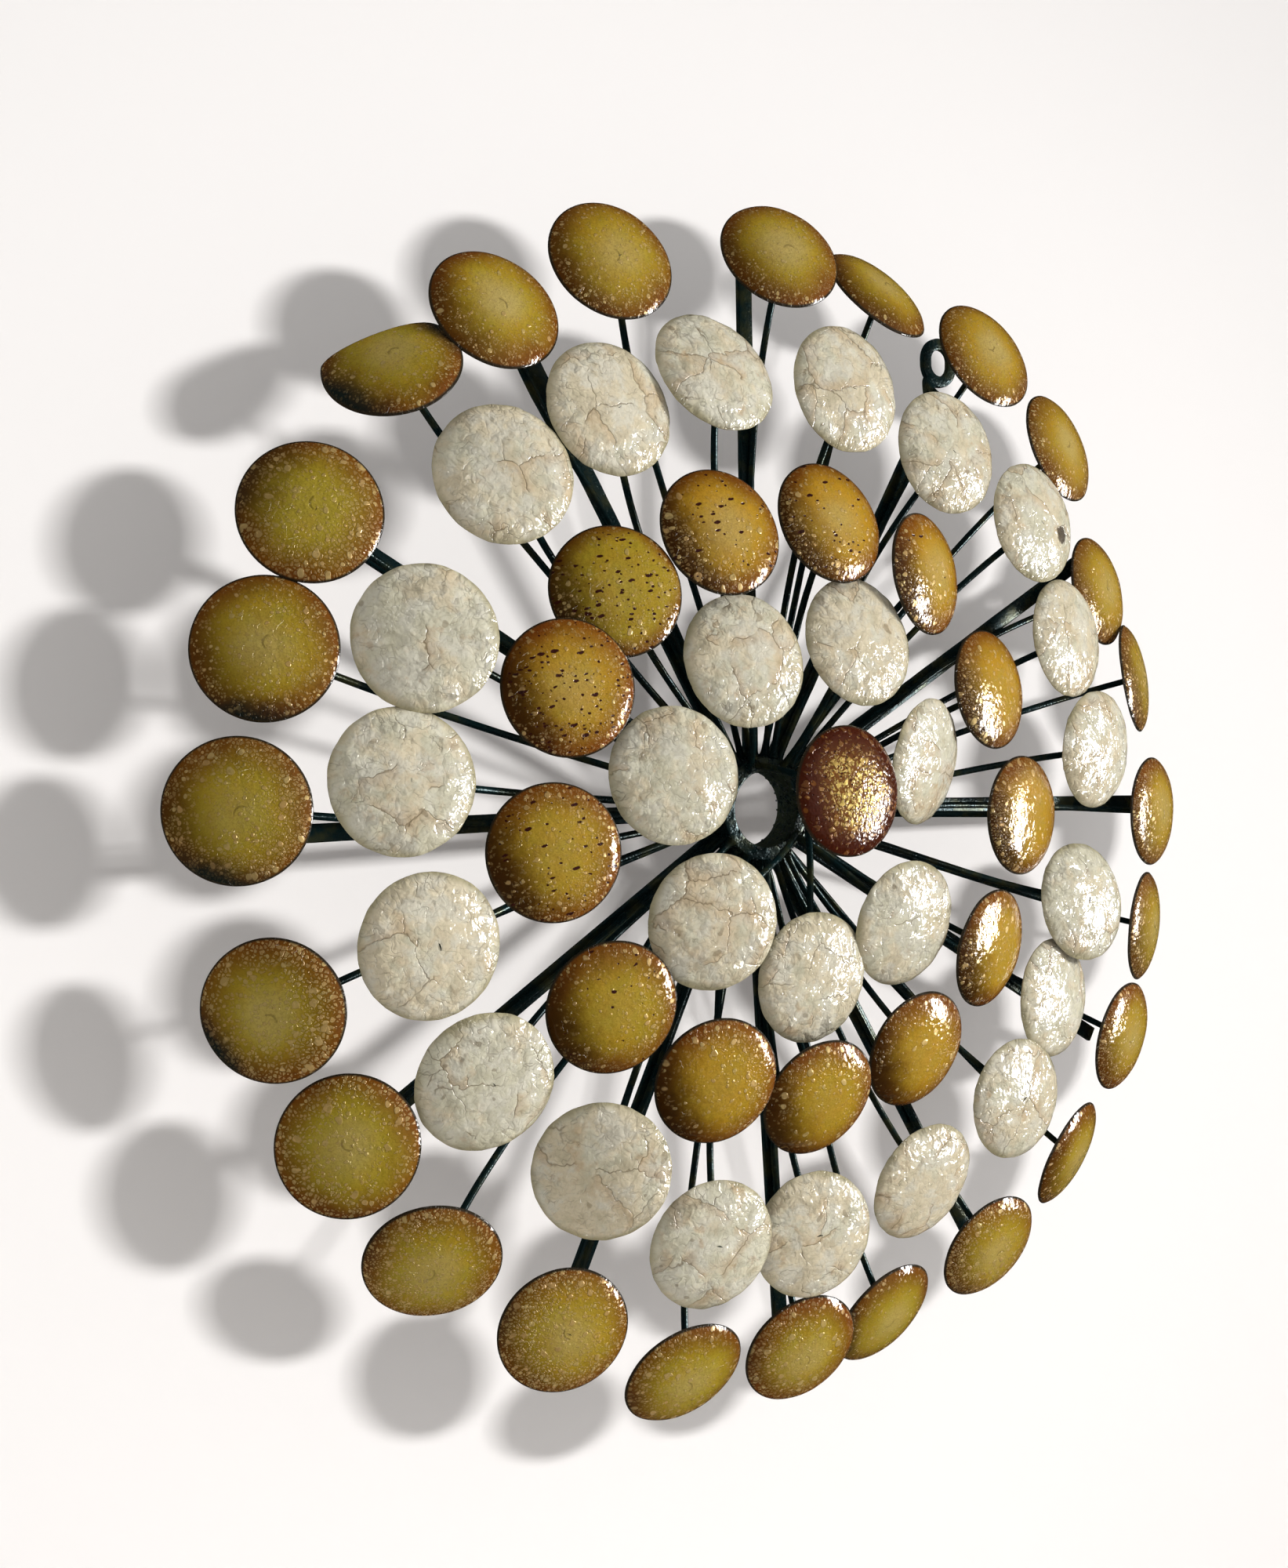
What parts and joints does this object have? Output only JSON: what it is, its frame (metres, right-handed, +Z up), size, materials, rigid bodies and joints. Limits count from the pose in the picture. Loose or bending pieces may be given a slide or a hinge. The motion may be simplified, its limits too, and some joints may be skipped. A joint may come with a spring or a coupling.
{
  "type": "metal wall sculpture",
  "caption": "Round burst of thin domed metal discs, gold patina and pearl leaf, on steel rods and flat bars welded to a ring, with eyes to hang it on a wall.",
  "frame": {"origin": "on the wall plane, midway between the centres of the two hanger eyes", "axes": "+Z up, the wall is the plane Y = 0 and the sculpture stands out from it towards -Y, +X to the right as seen from the front"},
  "size_m": [0.8727, 0.1365, 0.8733],
  "materials": {
    "dark_steel": "dark blue-green patina, semi-gloss",
    "gold_patina": "olive-gold lacquer fading to red-brown rims with gold speckles, semi-gloss",
    "pearl_leaf": "crackled champagne pearl leaf, glossy",
    "copper_patina": "copper-red lacquer with gold flecks, glossy"
  },
  "bodies": {
    "root": {"hub_and_inner_discs": "dark_steel", "arm_01": "dark_steel", "arm_02": "dark_steel", "arm_03": "dark_steel", "arm_04": "dark_steel", "arm_05": "dark_steel", "arm_06": "dark_steel", "arm_07": "dark_steel", "arm_08": "dark_steel", "arm_09": "dark_steel", "arm_10": "dark_steel", "arm_11": "dark_steel", "arm_12": "dark_steel", "outer_stalk_01": "gold_patina", "outer_stalk_02": "gold_patina", "outer_stalk_03": "gold_patina", "outer_stalk_04": "gold_patina", "outer_stalk_05": "gold_patina", "outer_stalk_06": "gold_patina", "outer_stalk_07": "gold_patina", "outer_stalk_08": "gold_patina", "outer_stalk_09": "gold_patina", "outer_stalk_10": "gold_patina", "outer_stalk_11": "gold_patina", "outer_stalk_12": "gold_patina", "pearl_stalk_01": "pearl_leaf", "pearl_stalk_02": "pearl_leaf", "pearl_stalk_03": "pearl_leaf", "pearl_stalk_04": "pearl_leaf", "pearl_stalk_05": "pearl_leaf", "pearl_stalk_06": "pearl_leaf", "pearl_stalk_07": "pearl_leaf", "pearl_stalk_08": "pearl_leaf", "pearl_stalk_09": "pearl_leaf", "pearl_stalk_10": "pearl_leaf", "pearl_stalk_11": "pearl_leaf", "pearl_stalk_12": "pearl_leaf", "pearl_stalk_13": "pearl_leaf", "pearl_stalk_14": "pearl_leaf", "pearl_stalk_15": "pearl_leaf", "pearl_stalk_16": "pearl_leaf", "pearl_stalk_17": "pearl_leaf", "pearl_stalk_18": "pearl_leaf", "pearl_stalk_19": "pearl_leaf", "gold_stalk_01": "gold_patina", "gold_stalk_02": "gold_patina", "gold_stalk_03": "gold_patina", "gold_stalk_04": "gold_patina", "gold_stalk_05": "gold_patina", "gold_stalk_06": "gold_patina", "gold_stalk_07": "gold_patina", "gold_stalk_08": "gold_patina", "gold_stalk_09": "gold_patina", "gold_stalk_10": "gold_patina", "gold_stalk_11": "gold_patina", "gold_stalk_12": "gold_patina", "gold_stalk_13": "gold_patina", "hanger_eye_left": "dark_steel", "hanger_eye_right": "dark_steel"}
  },
  "joints": []
}
